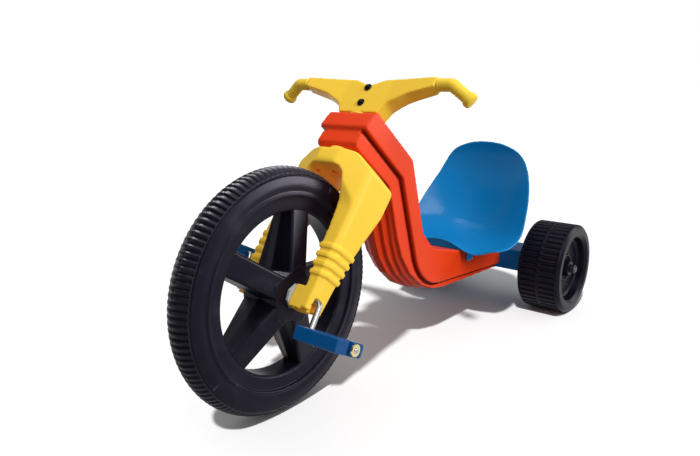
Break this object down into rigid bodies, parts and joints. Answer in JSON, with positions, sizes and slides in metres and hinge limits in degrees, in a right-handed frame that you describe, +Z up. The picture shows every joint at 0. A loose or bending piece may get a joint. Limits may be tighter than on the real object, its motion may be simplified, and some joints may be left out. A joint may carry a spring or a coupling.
{
  "type": "low rider tricycle",
  "caption": "Low ride-on tricycle with a large pedalled front wheel in a raked fork, a stepped frame, a bucket seat and wide rear wheels.",
  "frame": {"origin": "on the ground, under the middle of the whole tricycle", "axes": "+X forward, +Y to the rider's left, +Z up"},
  "size_m": [1.0607, 0.44, 0.5425],
  "materials": {
    "red_plastic": "moulded gloss",
    "yellow_plastic": "moulded gloss",
    "yellow_grip": "ribbed satin",
    "blue_plastic": "moulded gloss",
    "black_plastic": "satin",
    "white_plastic": "satin",
    "steel": "zinc plated",
    "bright_steel": "bright plated",
    "black_bolt": "gloss black"
  },
  "bodies": {
    "frame": {"frame_shell": "red_plastic", "head_bushes": "yellow_plastic", "axle_housing": "blue_plastic", "housing_screws": "steel", "rear_axle": "steel", "axle_washers": "steel", "left_axle_cap": "steel", "right_axle_cap": "steel"},
    "steering": {"fork": "yellow_plastic", "axle_keepers": "yellow_plastic", "handlebar": "yellow_plastic", "left_grip": "yellow_grip", "right_grip": "yellow_grip", "handlebar_bolts": "black_bolt", "handlebar_nuts": "steel"},
    "drive": {"front_wheel": "black_plastic", "hub_bushings": "white_plastic", "pedal_crank": "bright_steel", "left_pedal_ring": "steel", "right_pedal_ring": "steel"},
    "left_pedal": {"left_pedal": "blue_plastic"},
    "right_pedal": {"right_pedal": "blue_plastic"},
    "left_rear_wheel": {"left_rear_wheel": "black_plastic"},
    "right_rear_wheel": {"right_rear_wheel": "black_plastic"},
    "seat": {"seat": "blue_plastic"}
  },
  "joints": [
    {"name": "steer", "type": "hinge", "parent": "frame", "child": "steering", "pos_m": [0.32715, 0, 0.2032], "axis": [-0.6293, 0, 0.7771], "range_deg": [-60, 60]},
    {"name": "front_wheel_spin", "type": "hinge", "parent": "steering", "child": "drive", "pos_m": [0.32715, 0, 0.2032], "axis": [0, 1, 0], "continuous": true},
    {"name": "left_pedal_spin", "type": "hinge", "parent": "drive", "child": "left_pedal", "pos_m": [0.36392, 0.15, 0.16643], "axis": [0, 1, 0], "continuous": true},
    {"name": "right_pedal_spin", "type": "hinge", "parent": "drive", "child": "right_pedal", "pos_m": [0.29038, -0.15, 0.23997], "axis": [0, 1, 0], "continuous": true},
    {"name": "left_rear_spin", "type": "hinge", "parent": "frame", "child": "left_rear_wheel", "pos_m": [-0.42585, 0.167, 0.1045], "axis": [0, 1, 0], "continuous": true},
    {"name": "right_rear_spin", "type": "hinge", "parent": "frame", "child": "right_rear_wheel", "pos_m": [-0.42585, -0.167, 0.1045], "axis": [0, 1, 0], "continuous": true},
    {"name": "seat_slide", "type": "slide", "parent": "frame", "child": "seat", "axis": [0.9741, 0, 0.2262], "range_m": [-0.025, 0.025]}
  ]
}
